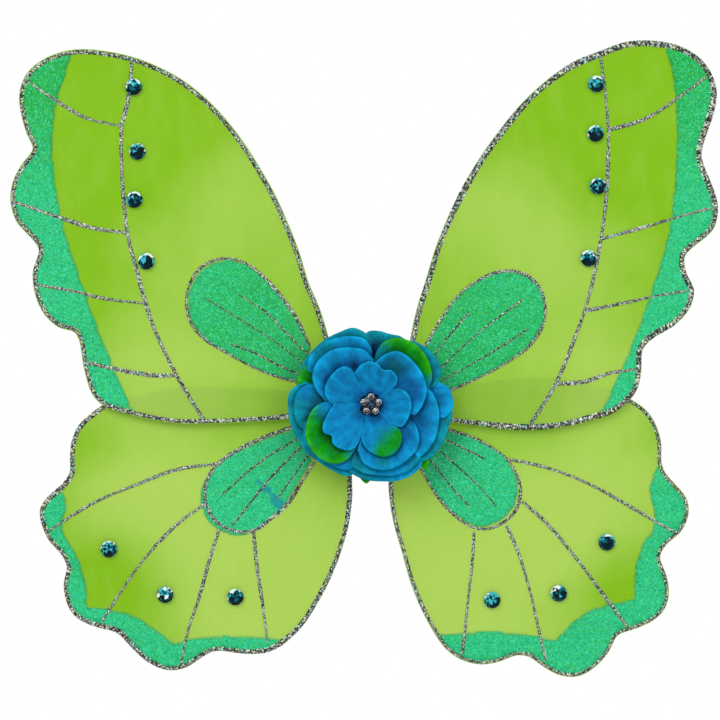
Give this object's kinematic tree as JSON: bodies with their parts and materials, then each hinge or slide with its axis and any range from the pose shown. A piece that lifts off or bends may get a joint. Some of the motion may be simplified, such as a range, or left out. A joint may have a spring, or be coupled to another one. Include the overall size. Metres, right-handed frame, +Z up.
{
  "type": "fairy wings",
  "caption": "Child's butterfly costume wings: nylon over bent wire, glitter veins, stones, a fabric flower with a brooch, a back pad and elastic shoulder loops.",
  "frame": {"origin": "centre of the back pad's rear face, which rests on the wearer's back", "axes": "+X across the span to the wearer's right, +Y towards the wearer, +Z up"},
  "size_m": [0.4722, 0.1591, 0.4254],
  "materials": {
    "wire": "drawn steel wire",
    "nylon": "sheer stretched lime nylon knit",
    "glitter_silver": "silver and black glitter glue",
    "glitter_teal": "teal glitter paint",
    "stone": "faceted, foil backed",
    "pad": "quilted felt over foam",
    "tape": "wound cloth tape",
    "felt": "pressed felt",
    "elastic": "woven flat elastic",
    "leaf": "satin ribbon cloth",
    "petal": "fine pleated chiffon and satin",
    "silver": "bright cast metal",
    "crystal": "clear faceted",
    "heart_stone": "dark faceted"
  },
  "bodies": {
    "root": {"back_pad": "pad", "centre_binding": "tape", "felt_disc": "felt", "flower_leaves": "leaf", "petals_back": "petal", "petals_outer": "petal", "petals_middle": "petal", "petals_inner": "petal", "brooch_setting": "silver", "brooch_crystal_1": "crystal", "brooch_crystal_2": "crystal", "brooch_crystal_3": "crystal", "brooch_crystal_4": "crystal", "brooch_crystal_5": "crystal", "brooch_heart_stone": "heart_stone"},
    "left_side": {"left_root_binding": "tape"},
    "right_side": {"right_root_binding": "tape"},
    "left_strap": {"left_strap": "elastic"},
    "right_strap": {"right_strap": "elastic"},
    "left_upper_wing": {"left_upper_wire": "wire", "left_upper_sleeve": "nylon", "left_upper_stone_1": "stone", "left_upper_stone_2": "stone", "left_upper_stone_3": "stone", "left_upper_stone_4": "stone"},
    "right_upper_wing": {"right_upper_wire": "wire", "right_upper_sleeve": "nylon", "right_upper_stone_1": "stone", "right_upper_stone_2": "stone", "right_upper_stone_3": "stone", "right_upper_stone_4": "stone"},
    "left_lower_wing": {"left_lower_wire": "wire", "left_lower_sleeve": "nylon", "left_lower_stone_1": "stone", "left_lower_stone_2": "stone", "left_lower_stone_3": "stone"},
    "right_lower_wing": {"right_lower_wire": "wire", "right_lower_sleeve": "nylon", "right_lower_stone_1": "stone", "right_lower_stone_2": "stone", "right_lower_stone_3": "stone"}
  },
  "joints": [
    {"name": "left_side_flap", "type": "hinge", "parent": "root", "child": "left_side", "pos_m": [-0.0171, -0.0143, 0], "axis": [0, 0, 1], "range_deg": [-40, 12]},
    {"name": "left_upper_wing_bend", "type": "hinge", "parent": "left_side", "child": "left_upper_wing", "pos_m": [-0.0171, -0.0143, 0], "axis": [0, 0, 1], "range_deg": [0, 10]},
    {"name": "left_lower_wing_bend", "type": "hinge", "parent": "left_side", "child": "left_lower_wing", "pos_m": [-0.0171, -0.0143, 0], "axis": [0, 0, 1], "range_deg": [-15, 0]},
    {"name": "left_strap_swing", "type": "hinge", "parent": "root", "child": "left_strap", "pos_m": [-0.0105, -0.0035, 0], "axis": [0, 0, 1], "range_deg": [0, 30]},
    {"name": "right_side_flap", "type": "hinge", "parent": "root", "child": "right_side", "pos_m": [0.0171, -0.0143, 0], "axis": [0, 0, -1], "range_deg": [-40, 12]},
    {"name": "right_upper_wing_bend", "type": "hinge", "parent": "right_side", "child": "right_upper_wing", "pos_m": [0.0171, -0.0143, 0], "axis": [0, 0, -1], "range_deg": [0, 10]},
    {"name": "right_lower_wing_bend", "type": "hinge", "parent": "right_side", "child": "right_lower_wing", "pos_m": [0.0171, -0.0143, 0], "axis": [0, 0, -1], "range_deg": [-15, 0]},
    {"name": "right_strap_swing", "type": "hinge", "parent": "root", "child": "right_strap", "pos_m": [0.0105, -0.0035, 0], "axis": [0, 0, -1], "range_deg": [0, 30]}
  ]
}
